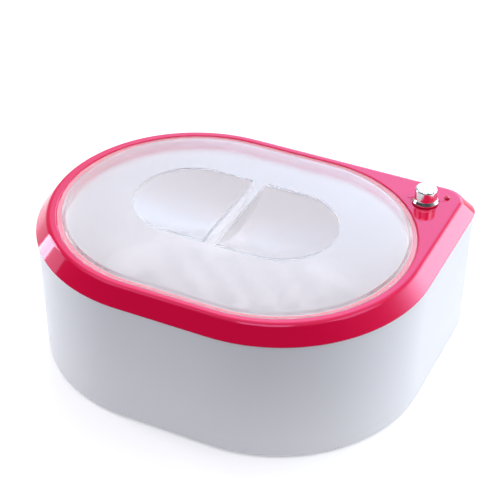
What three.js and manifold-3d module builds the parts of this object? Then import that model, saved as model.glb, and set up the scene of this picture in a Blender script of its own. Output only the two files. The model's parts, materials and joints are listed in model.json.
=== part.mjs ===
// A paraffin wax warmer bath: a white shell under a coloured bezel, a lift-off domed lid with two
// finger scoops, a heated aluminium pot and its guard grille, and the thermostat corner with its knob.
// Millimetres. X runs left to right, Y front to back and Z up from the table. The origin is under the
// middle of the housing.
import * as THREE from "three";
import { mergeVertices } from "three/addons/utils/BufferGeometryUtils.js";
import Module from "manifold-3d";

// ---------------------------------------------------------------- driving dimensions
const HOUSING_LENGTH = 370;
const HOUSING_WIDTH = 284;
const CORNER_RADIUS = 23.5; // the squared-off back right corner, which carries the knob
const CORNER_TIGHTENING = 0.35; // how much smaller that radius gets for each millimetre inwards
const FOOT_HEIGHT = 3;
const SHELL_TOP = 126.5;
const SHELL_WALL = 2.8;
const SHELL_TOP_INSET = 1; // the bezel overhangs the shell by this much
const SHELL_BOTTOM_INSET = 2.5;
const BEZEL_TOP = 142.5;
const BEZEL_WALL = 2.6;
const BEZEL_SLOPE_INSET = 11.4; // how far the sloped band leans in
const OPENING_LENGTH = 331; // the lid's opening in the bezel
const OPENING_WIDTH = 248;
const LEDGE_DROP = 2.6; // the lid's flange lies this far below the bezel's top
const SKIRT_RADIUS = 118.5; // inner face of the bezel's skirt, at the round ends
const SKIRT_WALL = 2.2;
const SKIRT_BOTTOM = 129.3;
const GAP = 0.3; // between pieces that touch
const LID_CROWN = 9; // the lid's top above the bezel
const LID_WALL = 2.2;
const SCOOP_DEPTH = 16;
const SCOOP_HALF_LENGTH = 96.5;
const SCOOP_HALF_WIDTH = 52;
const GRIP_BAR_WIDTH = 14;
const POT_FLANGE_TOP = 127.2;
const POT_SHEET = 1.5;
const POT_BOTTOM = 30;
const POT_SCREW_RADIUS = 124.3; // the pot's screws stand on this line round the opening
const KNOB_X = 143.5;
const KNOB_Y = 100.5;
const KNOB_HEIGHT = 16.4;
const KNOB_OFF_ANGLE = 255; // the pointer's direction when off, from +X
const KNOB_SWEEP = 300;
const LAMP_X = 159.6;
const LAMP_Y = 114.2;
const INLET_X = 118;
const INLET_Z = 45;
const INLET_BODY_LENGTH = 27;
const INLET_BODY_HEIGHT = 19.8;
const INLET_SCREW_X = 20; // from the inlet's middle to each of its screws
const PLATE_BOTTOM = 3.4;
const PLATE_TOP = 6;
const FOOT_X = 120;
const FOOT_Y = 80;

// ---------------------------------------------------------------- worked-out dimensions
const END_RADIUS = HOUSING_WIDTH / 2;
const END_CENTRE = HOUSING_LENGTH / 2 - END_RADIUS;
const OVAL_CENTRE = (OPENING_LENGTH - OPENING_WIDTH) / 2; // centres of the opening's round ends
const OPENING_RADIUS = OPENING_WIDTH / 2;
const LEDGE = BEZEL_TOP - LEDGE_DROP;
const UNDER_TOP = BEZEL_TOP - BEZEL_WALL;
const WELL_FLOOR = BEZEL_TOP - 0.7; // of the shallow round well that the knob stands in
const CROWN = BEZEL_TOP + LID_CROWN;
const QUARTER_STEPS = 8; // steps in each quarter of a large arc
const CORNER_STEPS = 4;
const LEAD_SIDES = 6;

const COLOURS = {
  white: { color: 0xeef0f4, roughness: 0.3, metalness: 0 },
  pink: { color: 0xe0184e, roughness: 0.15, metalness: 0 },
  frosted: { color: 0xe4e5ec, roughness: 0.3, metalness: 0, transparent: true, opacity: 0.6 },
  aluminium: { color: 0xc9cbd0, roughness: 0.35, metalness: 1 },
  chrome: { color: 0xf2f2f4, roughness: 0.08, metalness: 1 },
  steel: { color: 0xb4b6ba, roughness: 0.3, metalness: 1 },
  brass: { color: 0xd2b25a, roughness: 0.3, metalness: 1 },
  rubber: { color: 0x35363a, roughness: 0.8, metalness: 0 },
  silicone: { color: 0xdcdcdc, roughness: 0.6, metalness: 0 },
  heater: { color: 0xb5562c, roughness: 0.6, metalness: 0 },
  felt: { color: 0xe8e2d2, roughness: 0.95, metalness: 0 },
  black: { color: 0x1a1a1c, roughness: 0.4, metalness: 0 },
  lamp: { color: 0xb80c2c, roughness: 0.15, metalness: 0 },
  board: { color: 0x2d6b45, roughness: 0.5, metalness: 0 },
  brown: { color: 0x6b3a1e, roughness: 0.5, metalness: 0 },
  blue: { color: 0x2a52a0, roughness: 0.5, metalness: 0 },
  green: { color: 0x5c9c3a, roughness: 0.5, metalness: 0 },
};

// ---------------------------------------------------------------- solids
const wasm = await Module();
wasm.setup();

// A closed three.js geometry as a solid.
function solid(geometry) {
  const bare = geometry.index ? geometry.toNonIndexed() : geometry.clone();
  bare.deleteAttribute("normal");
  bare.deleteAttribute("uv");
  const merged = mergeVertices(bare, 1e-4);
  return new wasm.Manifold(
    new wasm.Mesh({
      numProp: 3,
      vertProperties: merged.attributes.position.array,
      triVerts: new Uint32Array(merged.index.array),
    }),
  );
}

function geometryOf(made) {
  const mesh = made.getMesh();
  const geometry = new THREE.BufferGeometry();
  geometry.setAttribute("position", new THREE.BufferAttribute(mesh.vertProperties, 3));
  geometry.setIndex(new THREE.BufferAttribute(mesh.triVerts, 1));
  geometry.computeVertexNormals();
  return geometry;
}

const wax_warmer = new THREE.Group();

// Adds a solid to the assembly as a named mesh.
function piece(name, colour, made, x = 0, y = 0, z = 0) {
  const mesh = new THREE.Mesh(geometryOf(made), new THREE.MeshStandardMaterial(COLOURS[colour]));
  mesh.name = name;
  mesh.position.set(x, y, z);
  wax_warmer.add(mesh);
  return mesh;
}

function arc(x, y, radius, from, to, steps) {
  return new THREE.EllipseCurve(x, y, radius, radius, from, to).getPoints(steps);
}

// The housing's outline, moved inwards by inset: a stadium whose back right corner is squared off.
function housingPlan(inset) {
  const corner = CORNER_RADIUS - CORNER_TIGHTENING * inset;
  return [
    ...arc(END_CENTRE, 0, END_RADIUS - inset, -Math.PI / 2, 0, QUARTER_STEPS),
    ...arc(
      HOUSING_LENGTH / 2 - inset - corner,
      HOUSING_WIDTH / 2 - inset - corner,
      corner,
      0,
      Math.PI / 2,
      CORNER_STEPS,
    ),
    ...arc(-END_CENTRE, 0, END_RADIUS - inset, Math.PI / 2, 1.5 * Math.PI, 2 * QUARTER_STEPS),
  ];
}

// A stadium in line with the lid's opening, with ends of that radius.
function ovalPlan(radius) {
  return [
    ...arc(OVAL_CENTRE, 0, radius, -Math.PI / 2, Math.PI / 2, 2 * QUARTER_STEPS),
    ...arc(-OVAL_CENTRE, 0, radius, Math.PI / 2, 1.5 * Math.PI, 2 * QUARTER_STEPS),
  ];
}

// A closed solid through stacked outlines of equal length: levels are [z, points], from the bottom up.
function loft(levels) {
  const count = levels[0][1].length;
  const positions = levels.flatMap(([z, points]) => points.flatMap((p) => [p.x, p.y, z]));
  const index = [];
  for (let level = 0; level < levels.length - 1; level++) {
    for (let i = 0; i < count; i++) {
      const a = level * count + i;
      const b = level * count + ((i + 1) % count);
      index.push(a, b, b + count, a, b + count, a + count);
    }
  }
  const top = (levels.length - 1) * count;
  for (const [a, b, c] of THREE.ShapeUtils.triangulateShape(levels[0][1], [])) index.push(a, c, b);
  for (const [a, b, c] of THREE.ShapeUtils.triangulateShape(levels.at(-1)[1], [])) {
    index.push(top + a, top + b, top + c);
  }
  const geometry = new THREE.BufferGeometry();
  geometry.setAttribute("position", new THREE.Float32BufferAttribute(positions, 3));
  geometry.setIndex(index);
  return solid(geometry);
}

const ovalLoft = (levels) => loft(levels.map(([z, radius]) => [z, ovalPlan(radius)]));
const housingLoft = (levels) => loft(levels.map(([z, inset]) => [z, housingPlan(inset)]));
const ovalSlab = (radius, low, high) => ovalLoft([[low, radius], [high, radius]]);

// An upright round bar.
function rod(radius, low, high, x = 0, y = 0, sides = 12) {
  const geometry = new THREE.CylinderGeometry(radius, radius, high - low, sides);
  geometry.rotateX(Math.PI / 2);
  geometry.translate(x, y, (low + high) / 2);
  return solid(geometry);
}

function box(width, depth, height, x = 0, y = 0, z = 0) {
  return solid(new THREE.BoxGeometry(width, depth, height).translate(x, y, z));
}

// A solid of revolution about Z from [radius, z] points.
function turned(profile, sides = 32) {
  const points = profile.map(([radius, z]) => new THREE.Vector2(radius, z));
  return solid(new THREE.LatheGeometry(points, sides).rotateX(Math.PI / 2));
}

// A round tube along a smooth curve through the points.
function lead(radius, route, steps) {
  const section = new THREE.Shape();
  section.setFromPoints(arc(0, 0, radius, 0, 2 * Math.PI, LEAD_SIDES).slice(0, LEAD_SIDES));
  const path = new THREE.CatmullRomCurve3(route.map((p) => new THREE.Vector3(...p)));
  return solid(new THREE.ExtrudeGeometry(section, { steps, bevelEnabled: false, extrudePath: path }));
}

const joined = (solids) => solids.reduce((sum, next) => sum.add(next));
const cut = (body, solids) => solids.reduce((rest, next) => rest.subtract(next), body);

// The six places round the opening where the pot is screwed up into the bezel.
const potScrewPlaces = [
  [OVAL_CENTRE, POT_SCREW_RADIUS],
  [-OVAL_CENTRE, POT_SCREW_RADIUS],
  [-OVAL_CENTRE - POT_SCREW_RADIUS, 0],
  [-OVAL_CENTRE, -POT_SCREW_RADIUS],
  [OVAL_CENTRE, -POT_SCREW_RADIUS],
  [OVAL_CENTRE + POT_SCREW_RADIUS, 0],
];

// The six places where the base plate is screwed to the shell's bosses.
const BASE_BOSS_INSET = 12; // from the housing's outline to a boss's middle
const CORNER_BOSS_INSET = 19; // the same on both sides of the squared-off corner
const bossRing = END_RADIUS - BASE_BOSS_INSET;
const baseScrewPlaces = [
  [END_CENTRE + bossRing * Math.SQRT1_2, -bossRing * Math.SQRT1_2],
  [0, -bossRing],
  [-END_CENTRE - bossRing * Math.SQRT1_2, -bossRing * Math.SQRT1_2],
  [-END_CENTRE - bossRing * Math.SQRT1_2, bossRing * Math.SQRT1_2],
  [0, bossRing],
  [HOUSING_LENGTH / 2 - CORNER_BOSS_INSET, HOUSING_WIDTH / 2 - CORNER_BOSS_INSET],
];
const footPlaces = [
  [FOOT_X, FOOT_Y],
  [-FOOT_X, FOOT_Y],
  [-FOOT_X, -FOOT_Y],
  [FOOT_X, -FOOT_Y],
];

// ---------------------------------------------------------------- outer shell
const BOSS_RADIUS = 4.5;
const BOSS_BOTTOM = PLATE_TOP + GAP;
const BOSS_TOP = 24;
const BASE_PILOT_RADIUS = 1.6;
const RIB_LENGTH = 16;
const RIB_WIDTH = 3;
const TONGUE_HEIGHT = 4.5; // the shell's tongue stands up inside the bezel
const TONGUE_WALL = 1.6;

function bodyShell() {
  const wall = cut(
    housingLoft([
      [FOOT_HEIGHT, SHELL_BOTTOM_INSET + 1.2],
      [FOOT_HEIGHT + 1.4, SHELL_BOTTOM_INSET],
      [SHELL_TOP, SHELL_TOP_INSET],
    ]),
    [
      housingLoft([
        [FOOT_HEIGHT - 1, SHELL_BOTTOM_INSET + SHELL_WALL],
        [SHELL_TOP + 1, SHELL_TOP_INSET + SHELL_WALL],
      ]),
    ],
  );
  const pilots = baseScrewPlaces.map(([x, y]) => rod(BASE_PILOT_RADIUS, BOSS_BOTTOM - 1, BOSS_TOP - 4, x, y));
  const inletHole = box(INLET_BODY_LENGTH + 0.8, 30, INLET_BODY_HEIGHT + 0.8, INLET_X, HOUSING_WIDTH / 2, INLET_Z);
  const inletPilots = [-INLET_SCREW_X, INLET_SCREW_X].map((dx) =>
    rod(1.8, -10, 10)
      .rotate([90, 0, 0])
      .translate([INLET_X + dx, HOUSING_WIDTH / 2, INLET_Z]),
  );
  return cut(joined([wall, shellTongue(), ...shellBosses()]), [...pilots, inletHole, ...inletPilots]);
}

// The rim that locates the bezel, leaning in with the bezel's sloped band.
function shellTongue() {
  const inset = BEZEL_WALL + 0.9;
  const top = SHELL_TOP + TONGUE_HEIGHT;
  const outer = housingLoft([
    [SHELL_TOP - 2, inset],
    [SHELL_TOP, inset],
    [top, inset + 2.6],
  ]);
  const inner = housingLoft([
    [SHELL_TOP - 3, inset + TONGUE_WALL],
    [SHELL_TOP, inset + TONGUE_WALL],
    [top + 1, inset + TONGUE_WALL + 3.2],
  ]);
  return cut(outer, [inner]);
}

// Posts for the base plate's screws, each with a rib out to the wall.
function shellBosses() {
  const insideWall = housingLoft([
    [FOOT_HEIGHT, SHELL_BOTTOM_INSET + SHELL_WALL / 2],
    [SHELL_TOP, SHELL_TOP_INSET + SHELL_WALL / 2],
  ]);
  return baseScrewPlaces.map(([x, y]) => {
    const post = rod(BOSS_RADIUS, BOSS_BOTTOM, BOSS_TOP, x, y);
    const outward = new THREE.Vector2(x, y).angle();
    const rib = box(RIB_LENGTH, RIB_WIDTH, BOSS_TOP - BOSS_BOTTOM, RIB_LENGTH / 2, 0, 0)
      .rotate([0, 0, THREE.MathUtils.radToDeg(outward)])
      .translate([x, y, (BOSS_TOP + BOSS_BOTTOM) / 2]);
    return post.add(rib).intersect(insideWall);
  });
}

// ---------------------------------------------------------------- bezel
const KNOB_WELL_RADIUS = 13.4;
const MARK_COUNT = 5;
const MARK_RADIUS = 16;
const NECK_RADIUS = 4.9;
const LAMP_RADIUS = 2.4;
const POT_BOSS_RADIUS = 4;
const POT_PILOT_RADIUS = 1.5;

function bezel() {
  const low = SHELL_TOP + 0.2;
  const outside = housingLoft([
    [low, 0.7],
    [low + 0.8, 0],
    [BEZEL_TOP - 1.3, BEZEL_SLOPE_INSET - 1],
    [BEZEL_TOP - 0.4, BEZEL_SLOPE_INSET],
    [BEZEL_TOP, BEZEL_SLOPE_INSET + 0.9],
  ]);
  const hollow = cut(
    housingLoft([
      [low - 1, BEZEL_WALL + 0.2],
      [low + 1, BEZEL_WALL + 0.2],
      [UNDER_TOP, BEZEL_SLOPE_INSET + 1.6],
    ]),
    [
      ovalSlab(SKIRT_RADIUS + SKIRT_WALL, low - 2, BEZEL_TOP),
      ovalSlab(OPENING_RADIUS + BEZEL_WALL, LEDGE - BEZEL_WALL, BEZEL_TOP),
    ],
  );
  const bosses = potScrewPlaces.map(([x, y]) =>
    rod(POT_BOSS_RADIUS, POT_FLANGE_TOP + GAP, LEDGE - BEZEL_WALL + 1, x, y),
  );
  const pilots = potScrewPlaces.map(([x, y]) => rod(POT_PILOT_RADIUS, low, LEDGE - BEZEL_WALL - 1, x, y));
  // Grooves round the knob mark its settings, clockwise from off to high.
  const marks = [...Array(MARK_COUNT).keys()].map((i) =>
    box(3, 0.8, 1, MARK_RADIUS, 0, 0)
      .rotate([0, 0, KNOB_OFF_ANGLE - (i * KNOB_SWEEP) / (MARK_COUNT - 1)])
      .translate([KNOB_X, KNOB_Y, BEZEL_TOP + 0.2]),
  );
  return cut(outside, [
    hollow,
    ovalSlab(SKIRT_RADIUS, low - 2, BEZEL_TOP + 1),
    ovalSlab(OPENING_RADIUS, LEDGE, BEZEL_TOP + 1),
    cut(ovalSlab(SKIRT_RADIUS + SKIRT_WALL + 0.1, low - 2, SKIRT_BOTTOM), [
      ovalSlab(SKIRT_RADIUS - 1, low - 3, SKIRT_BOTTOM + 1),
    ]),
  ])
    .add(joined(bosses))
    .subtract(
      joined([
        ...pilots,
        ...marks,
        rod(KNOB_WELL_RADIUS, WELL_FLOOR, BEZEL_TOP + 1, KNOB_X, KNOB_Y, 32),
        rod(NECK_RADIUS + GAP, UNDER_TOP - 1, BEZEL_TOP + 1, KNOB_X, KNOB_Y, 24),
        rod(LAMP_RADIUS + GAP, UNDER_TOP - 1, BEZEL_TOP + 1, LAMP_X, LAMP_Y, 16),
      ]),
    );
}

// ---------------------------------------------------------------- lid
const LID_FLANGE_RADIUS = OPENING_RADIUS - 0.5;
const LID_FLANGE_BOTTOM = LEDGE + GAP;
const LID_SKIRT_RADIUS = SKIRT_RADIUS - 0.7;
const LID_SKIRT_BOTTOM = 134;

// The lid's profile from its flange to its flat crown, as [z, radius of the oval there].
const lidOutside = [
  [LID_FLANGE_BOTTOM, LID_FLANGE_RADIUS],
  [BEZEL_TOP - 0.3, LID_FLANGE_RADIUS],
  [BEZEL_TOP + 1.2, 121],
  [BEZEL_TOP + 3.2, 116.5],
  [BEZEL_TOP + 5.4, 109],
  [BEZEL_TOP + 7.2, 98],
  [BEZEL_TOP + 8.4, 80],
  [CROWN, 56],
];
const lidInside = [
  [LID_SKIRT_BOTTOM - 1, LID_SKIRT_RADIUS - 1.8],
  [BEZEL_TOP - 0.8, LID_SKIRT_RADIUS - 1.8],
  [BEZEL_TOP + 2.6, 109],
  [BEZEL_TOP + 4.9, 97],
  [BEZEL_TOP + 6.2, 79],
  [CROWN - LID_WALL, 55],
];

// One finger scoop's outline beside the grip bar, scaled about the bar's wall and grown outwards.
function scoopPlan(side, scale, grow) {
  const wallX = GRIP_BAR_WIDTH / 2;
  const width = SCOOP_HALF_WIDTH * scale + grow;
  const centreX = wallX + (SCOOP_HALF_LENGTH - SCOOP_HALF_WIDTH - wallX) * scale;
  const right = [
    new THREE.Vector2(wallX - grow, -width),
    ...arc(centreX, 0, width, -Math.PI / 2, Math.PI / 2, 2 * QUARTER_STEPS),
    new THREE.Vector2(wallX - grow, width),
  ];
  return side > 0 ? right : right.map((p) => new THREE.Vector2(-p.x, p.y)).reverse();
}

// A scoop is a quarter bowl: full depth at the bar's wall, and none round its outline.
function scoop(side, grow) {
  const scales = [0.12, 0.35, 0.55, 0.72, 0.87, 1];
  const levels = scales.map((scale) => [
    CROWN - grow - SCOOP_DEPTH * (1 - scale * scale),
    scoopPlan(side, scale, grow),
  ]);
  levels.push([CROWN + 2, scoopPlan(side, 1, grow)]);
  return loft(levels);
}

function lid() {
  const dome = ovalLoft(lidOutside);
  const skirt = ovalSlab(LID_SKIRT_RADIUS, LID_SKIRT_BOTTOM, BEZEL_TOP - 1);
  const shell = dome.add(skirt).subtract(ovalLoft(lidInside));
  const pockets = [-1, 1].map((side) => scoop(side, LID_WALL).intersect(dome.add(scoopBlock())));
  return cut(joined([shell, ...pockets]), [scoop(-1, 0), scoop(1, 0)]);
}

// Everything under the crown that a scoop's wall may fill.
function scoopBlock() {
  return ovalSlab(56, CROWN - SCOOP_DEPTH - 2 * LID_WALL, CROWN);
}

// ---------------------------------------------------------------- pot and guard grille
const POT_FLANGE_BOTTOM = POT_FLANGE_TOP - 1.2;
const POT_FLANGE_RADIUS = 128.5;
const STUD_RADIUS = 2;
const STUD_BOTTOM = 20.5;
const studPlaces = [
  [-60, -20],
  [60, -20],
  [0, 40],
];

// The pot's outer and inner faces as [z, radius of the oval there].
const potOutside = [
  [POT_BOTTOM, 96],
  [POT_BOTTOM + 2, 102],
  [POT_BOTTOM + 7, 107.5],
  [POT_BOTTOM + 15, 110.5],
  [POT_FLANGE_TOP, 118],
];
const potInside = [
  ...potOutside.slice(0, -1).map(([z, radius]) => [z + POT_SHEET, radius - POT_SHEET]),
  [POT_FLANGE_TOP + 1, 118 - POT_SHEET],
];

function innerPot() {
  const flange = ovalSlab(POT_FLANGE_RADIUS, POT_FLANGE_BOTTOM, POT_FLANGE_TOP);
  const studs = studPlaces.map(([x, y]) => rod(STUD_RADIUS, STUD_BOTTOM, POT_BOTTOM + 0.5, x, y));
  const holes = potScrewPlaces.map(([x, y]) => rod(1.9, POT_FLANGE_BOTTOM - 1, POT_FLANGE_TOP + 1, x, y));
  return cut(joined([ovalLoft(potOutside), flange, ...studs]), [ovalLoft(potInside), ...holes]);
}

// A flat ring that seals the pot's flange against the bezel's skirt.
function potGasket() {
  const low = POT_FLANGE_TOP + GAP;
  return cut(ovalSlab(POT_SCREW_RADIUS - 4.3, low, SKIRT_BOTTOM - GAP), [
    ovalSlab(SKIRT_RADIUS - 0.9, low - 1, SKIRT_BOTTOM + 1),
  ]);
}

const GRILLE_BOTTOM = 36;
const GRILLE_TOP = 38.4;
const GRILLE_RADIUS = 100;
const SLOT_LENGTH = 30;
const SLOT_WIDTH = 9;
const SLOT_PITCH = 40; // between slots along a row
const ROW_PITCH = 17; // between rows
const LEG_Y = 83;
const LEG_BOTTOM = POT_BOTTOM + POT_SHEET + GAP;

function guardGrille() {
  const slots = [];
  for (let row = -5; row <= 5; row++) {
    for (let column = -3; column <= 3; column++) {
      const x = (column + (row % 2 ? 0.5 : 0)) * SLOT_PITCH;
      const y = row * ROW_PITCH;
      const beyond = Math.max(Math.abs(x) + SLOT_LENGTH / 2 - OVAL_CENTRE, 0);
      if (Math.hypot(beyond, Math.abs(y) + SLOT_WIDTH / 2) < GRILLE_RADIUS - 6) {
        slots.push(box(SLOT_LENGTH, SLOT_WIDTH, 10, x, y, GRILLE_TOP));
      }
    }
  }
  const rim = cut(ovalSlab(GRILLE_RADIUS, GRILLE_BOTTOM, GRILLE_TOP + 2), [
    ovalSlab(GRILLE_RADIUS - 2.5, GRILLE_BOTTOM - 1, GRILLE_TOP + 3),
  ]);
  const legs = [-60, 0, 60].flatMap((x) =>
    [-LEG_Y, LEG_Y].map((y) => rod(4, LEG_BOTTOM, GRILLE_BOTTOM + 1, x, y, 10)),
  );
  const plate = cut(ovalSlab(GRILLE_RADIUS, GRILLE_BOTTOM, GRILLE_TOP), slots);
  return joined([plate, rim, ...legs]);
}

// ---------------------------------------------------------------- heater under the pot
const MAT_TOP = POT_BOTTOM - GAP;
const MAT_BOTTOM = MAT_TOP - 2.4;
const CLAMP_TOP = MAT_BOTTOM - GAP;
const CLAMP_BOTTOM = CLAMP_TOP - 1.5;
const NUT_HEIGHT = 2.6;
const MAT_RADIUS = 76;
const CLAMP_RADIUS = 68;
const PAD_RADIUS = 84;
const PAD_TOP = 19;

// An oval plate with holes for the pot's studs.
function studded(radius, low, high, hole) {
  return cut(
    ovalSlab(radius, low, high),
    studPlaces.map(([x, y]) => rod(hole, low - 1, high + 1, x, y)),
  );
}

// A glass fuse with a lead at each end, lying along X.
function thermalFuse() {
  return rod(2.4, -12, 12).add(rod(0.7, -16, 16, 0, 0, 8)).rotate([0, 90, 0]);
}

// ---------------------------------------------------------------- small fittings
// A hexagonal nut standing on z 0.
function nut(radius, bore, height) {
  return rod(radius, 0, height, 0, 0, 6).subtract(rod(bore, -1, height + 1, 0, 0, 16));
}

// A pan-head screw that points up, with its head below z 0 and a cross slot in it.
function screw(shankRadius, headRadius, length) {
  const headHeight = headRadius * 0.62;
  const body = turned(
    [
      [0, -headHeight],
      [headRadius * 0.7, -headHeight],
      [headRadius, -headHeight * 0.45],
      [headRadius, 0],
      [shankRadius, 0],
      [shankRadius, length - 1],
      [0, length],
    ],
    10,
  );
  const slots = [0, 90].map((turn) =>
    box(headRadius * 1.1, 0.7, 1.4, 0, 0, -headHeight).rotate([0, 0, turn]),
  );
  return cut(body, slots);
}

const FOOT_NECK_RADIUS = 2.8;

// A push-in rubber foot with a barb above the base plate.
function foot() {
  return turned(
    [
      [0, 0],
      [9.2, 0],
      [10, 0.8],
      [10, PLATE_BOTTOM - GAP],
      [FOOT_NECK_RADIUS, PLATE_BOTTOM - GAP],
      [FOOT_NECK_RADIUS, PLATE_TOP + GAP],
      [3.8, PLATE_TOP + GAP],
      [2, PLATE_TOP + 2.6],
      [0, PLATE_TOP + 2.6],
    ],
    16,
  );
}

function basePlate() {
  const plateInset = SHELL_BOTTOM_INSET + SHELL_WALL + 0.4;
  const slots = [];
  for (const x of [-95, 0, 95]) {
    for (let row = -2; row <= 2; row++) slots.push(box(44, 3.2, 10, x, row * 11, PLATE_TOP));
  }
  const screwHoles = baseScrewPlaces.map(([x, y]) => rod(2.1, 0, 10, x, y));
  const footHoles = footPlaces.map(([x, y]) => rod(FOOT_NECK_RADIUS + GAP, 0, 10, x, y));
  return cut(
    housingLoft([
      [PLATE_BOTTOM, plateInset],
      [PLATE_TOP, plateInset],
    ]),
    [...slots, ...screwHoles, ...footHoles],
  );
}

// ---------------------------------------------------------------- thermostat corner
const NECK_TOP = BEZEL_TOP + 3.8;
const THERMOSTAT_BOTTOM = 115.2;
const SPINDLE_RADIUS = 3;
const SPINDLE_BOTTOM = 122;
const SPINDLE_TOP = BEZEL_TOP + 11.8;

function thermostatBody() {
  const height = UNDER_TOP - 0.4 - THERMOSTAT_BOTTOM;
  const block = box(26, 38, height, 0, 0, THERMOSTAT_BOTTOM + height / 2).rotate([0, 0, 45]);
  const neck = rod(NECK_RADIUS, THERMOSTAT_BOTTOM + height - 1, NECK_TOP, 0, 0, 24);
  const bore = rod(SPINDLE_RADIUS + 0.4, SPINDLE_BOTTOM - 1, NECK_TOP + 1, 0, 0, 24);
  return cut(block.add(neck), [bore]);
}

function knob() {
  const base = BEZEL_TOP + 0.3;
  const profile = [
    [0, SPINDLE_TOP + GAP],
    [SPINDLE_RADIUS + GAP, SPINDLE_TOP + GAP],
    [SPINDLE_RADIUS + GAP, NECK_TOP + 0.4],
    [9, NECK_TOP + 0.4],
    [9, base],
    [11.7, base],
    [12, base + 0.7],
    [11.7, base + 2.4],
    [10.6, base + 3.8],
    [10.1, base + 5],
    [9.8, BEZEL_TOP + KNOB_HEIGHT - 2.6],
    [9.1, BEZEL_TOP + KNOB_HEIGHT - 1],
    [7.4, BEZEL_TOP + KNOB_HEIGHT - 0.2],
    [0, BEZEL_TOP + KNOB_HEIGHT],
  ];
  // The pointer groove runs from the crown to the rim, towards the off mark.
  const pointer = box(4.4, 1, 1.2, 7.6, 0, BEZEL_TOP + KNOB_HEIGHT).rotate([0, 0, KNOB_OFF_ANGLE]);
  return turned(profile, 28).subtract(pointer);
}

function indicatorLens() {
  return turned(
    [
      [0, 136],
      [LAMP_RADIUS, 136],
      [LAMP_RADIUS, 138],
      [3.3, 138],
      [3.3, UNDER_TOP - GAP],
      [LAMP_RADIUS, UNDER_TOP - GAP],
      [LAMP_RADIUS, BEZEL_TOP + 0.4],
      [LAMP_RADIUS * 0.86, BEZEL_TOP + 1.5],
      [LAMP_RADIUS * 0.5, BEZEL_TOP + 2.3],
      [0, BEZEL_TOP + 2.6],
    ],
    16,
  );
}

// ---------------------------------------------------------------- mains inlet
const INLET_FACE = HOUSING_WIDTH / 2 - 0.1;
const INLET_FLANGE = 1.5;
const INLET_DEPTH = 24;
const CAVITY_DEPTH = 17;
const BLADE_LENGTH = 28;
const BLADE_THICKNESS = 2;
const BLADE_HEIGHT = 4;
const BLADE_END = INLET_FACE - 32; // the blades' inner ends
const blades = [
  ["inlet_blade_live", 7, 0],
  ["inlet_blade_neutral", -7, 0],
  ["inlet_blade_earth", 0, 4],
];

function inletHousing() {
  const flange = box(50, INLET_FLANGE, 24, 0, -INLET_FLANGE / 2, 0);
  const block = box(INLET_BODY_LENGTH, INLET_DEPTH, INLET_BODY_HEIGHT, 0, -INLET_DEPTH / 2, 0);
  const cavity = box(24, CAVITY_DEPTH, 16.6, 0, -CAVITY_DEPTH / 2 + 0.01, 0);
  const slots = blades.map(([, x, z]) =>
    box(BLADE_THICKNESS + 2 * GAP, 40, BLADE_HEIGHT + 2 * GAP, x, -20, z),
  );
  const screwPlaces = [-INLET_SCREW_X, INLET_SCREW_X];
  const screwHoles = screwPlaces.map((x) => rod(1.9, -10, 10).rotate([90, 0, 0]).translate([x, 0, 0]));
  const sinks = screwPlaces.map((x) =>
    turned([[0, -1.3], [1.9, -1.3], [3.2, 0.1], [0, 0.1]], 16)
      .rotate([-90, 0, 0])
      .translate([x, 0, 0]),
  );
  return cut(flange.add(block), [cavity, ...slots, ...screwHoles, ...sinks]);
}

// The spade connector that grips the inner end of a blade.
function bladeSleeve(x, z) {
  const socket = box(BLADE_THICKNESS + 2 * GAP, 8, BLADE_HEIGHT + 2 * GAP, x, BLADE_END + 3.5, z);
  return box(4.4, 9, 6.4, x, BLADE_END + 2, z).subtract(socket);
}

function countersunkScrew() {
  return turned([[0, -7], [1.4, -7], [1.4, -1.1], [2.75, 0], [0, 0]], 12)
    .subtract(box(3, 0.6, 1, 0, 0, 0))
    .rotate([-90, 0, 0]);
}

// ---------------------------------------------------------------- thermostat bulb and wiring
const BULB_Y = 116.6; // the bulb lies along the flat back of the pot
const BULB_Z = 62;
const BULB_RADIUS = 3;
const LEAD_RADIUS = 1.2;

// A folded clip that holds the bulb, open towards the pot.
function bulbClip() {
  return cut(box(10, 8.4, 14, 0, 0.6, 0), [
    rod(BULB_RADIUS + GAP, -10, 10, 0, 0, 16).rotate([0, 90, 0]),
    box(12, 8, 2 * (BULB_RADIUS + GAP), 0, -4, 0),
  ]);
}

// From the bulb's end to the bottom of the thermostat.
const capillaryRoute = [
  [35.4, BULB_Y, BULB_Z],
  [44, 118, 64],
  [70, 121, 78],
  [94, 115, 92],
  [112, 104, 104],
  [124, 96, 110],
  [129, 92, 114.6],
];

// Each lead from the inlet starts in a sleeve on its blade: live to the thermostat, neutral and earth to the heater.
const inletLeads = [
  ["wire_live", "brown", 7, 0, [[128, 100, 58], [138, 99, 84], [145, 102, 104], [148, 105, 114.8]]],
  ["wire_neutral", "blue", -7, 0, [[112, 99, 36], [112, 86, 27], [107, 64, 25.5], [101.8, 49.6, 28.2]]],
  ["wire_earth", "green", 0, 4, [[120, 99, 36], [119, 82, 22.6], [109, 57, 21.4], [98.4, 40.6, 25.8]]],
];
const heaterRoute = [[138, 95, 114.8], [136, 93, 80], [131, 86, 40], [123, 80, 28.5], [118, 73.4, 27.5]];
const indicatorRoute = [
  [LAMP_X, LAMP_Y, 133.6],
  [160, 113, 124],
  [158, 109, 109],
  [154, 101, 108],
  [153, 98, 114.8],
];

function inletLead(x, z, route) {
  const start = [INLET_X + x, BLADE_END - 1.9, INLET_Z + z];
  return lead(LEAD_RADIUS, [start, ...route], 14).add(bladeSleeve(INLET_X + x, INLET_Z + z));
}

// ---------------------------------------------------------------- assembly
piece("body_shell", "white", bodyShell());
piece("bezel", "pink", bezel());
piece("lid", "frosted", lid());
piece("inner_pot", "aluminium", innerPot());
piece("guard_grille", "white", guardGrille());
piece("base_plate", "white", basePlate());
piece("pot_gasket", "silicone", potGasket());

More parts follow.
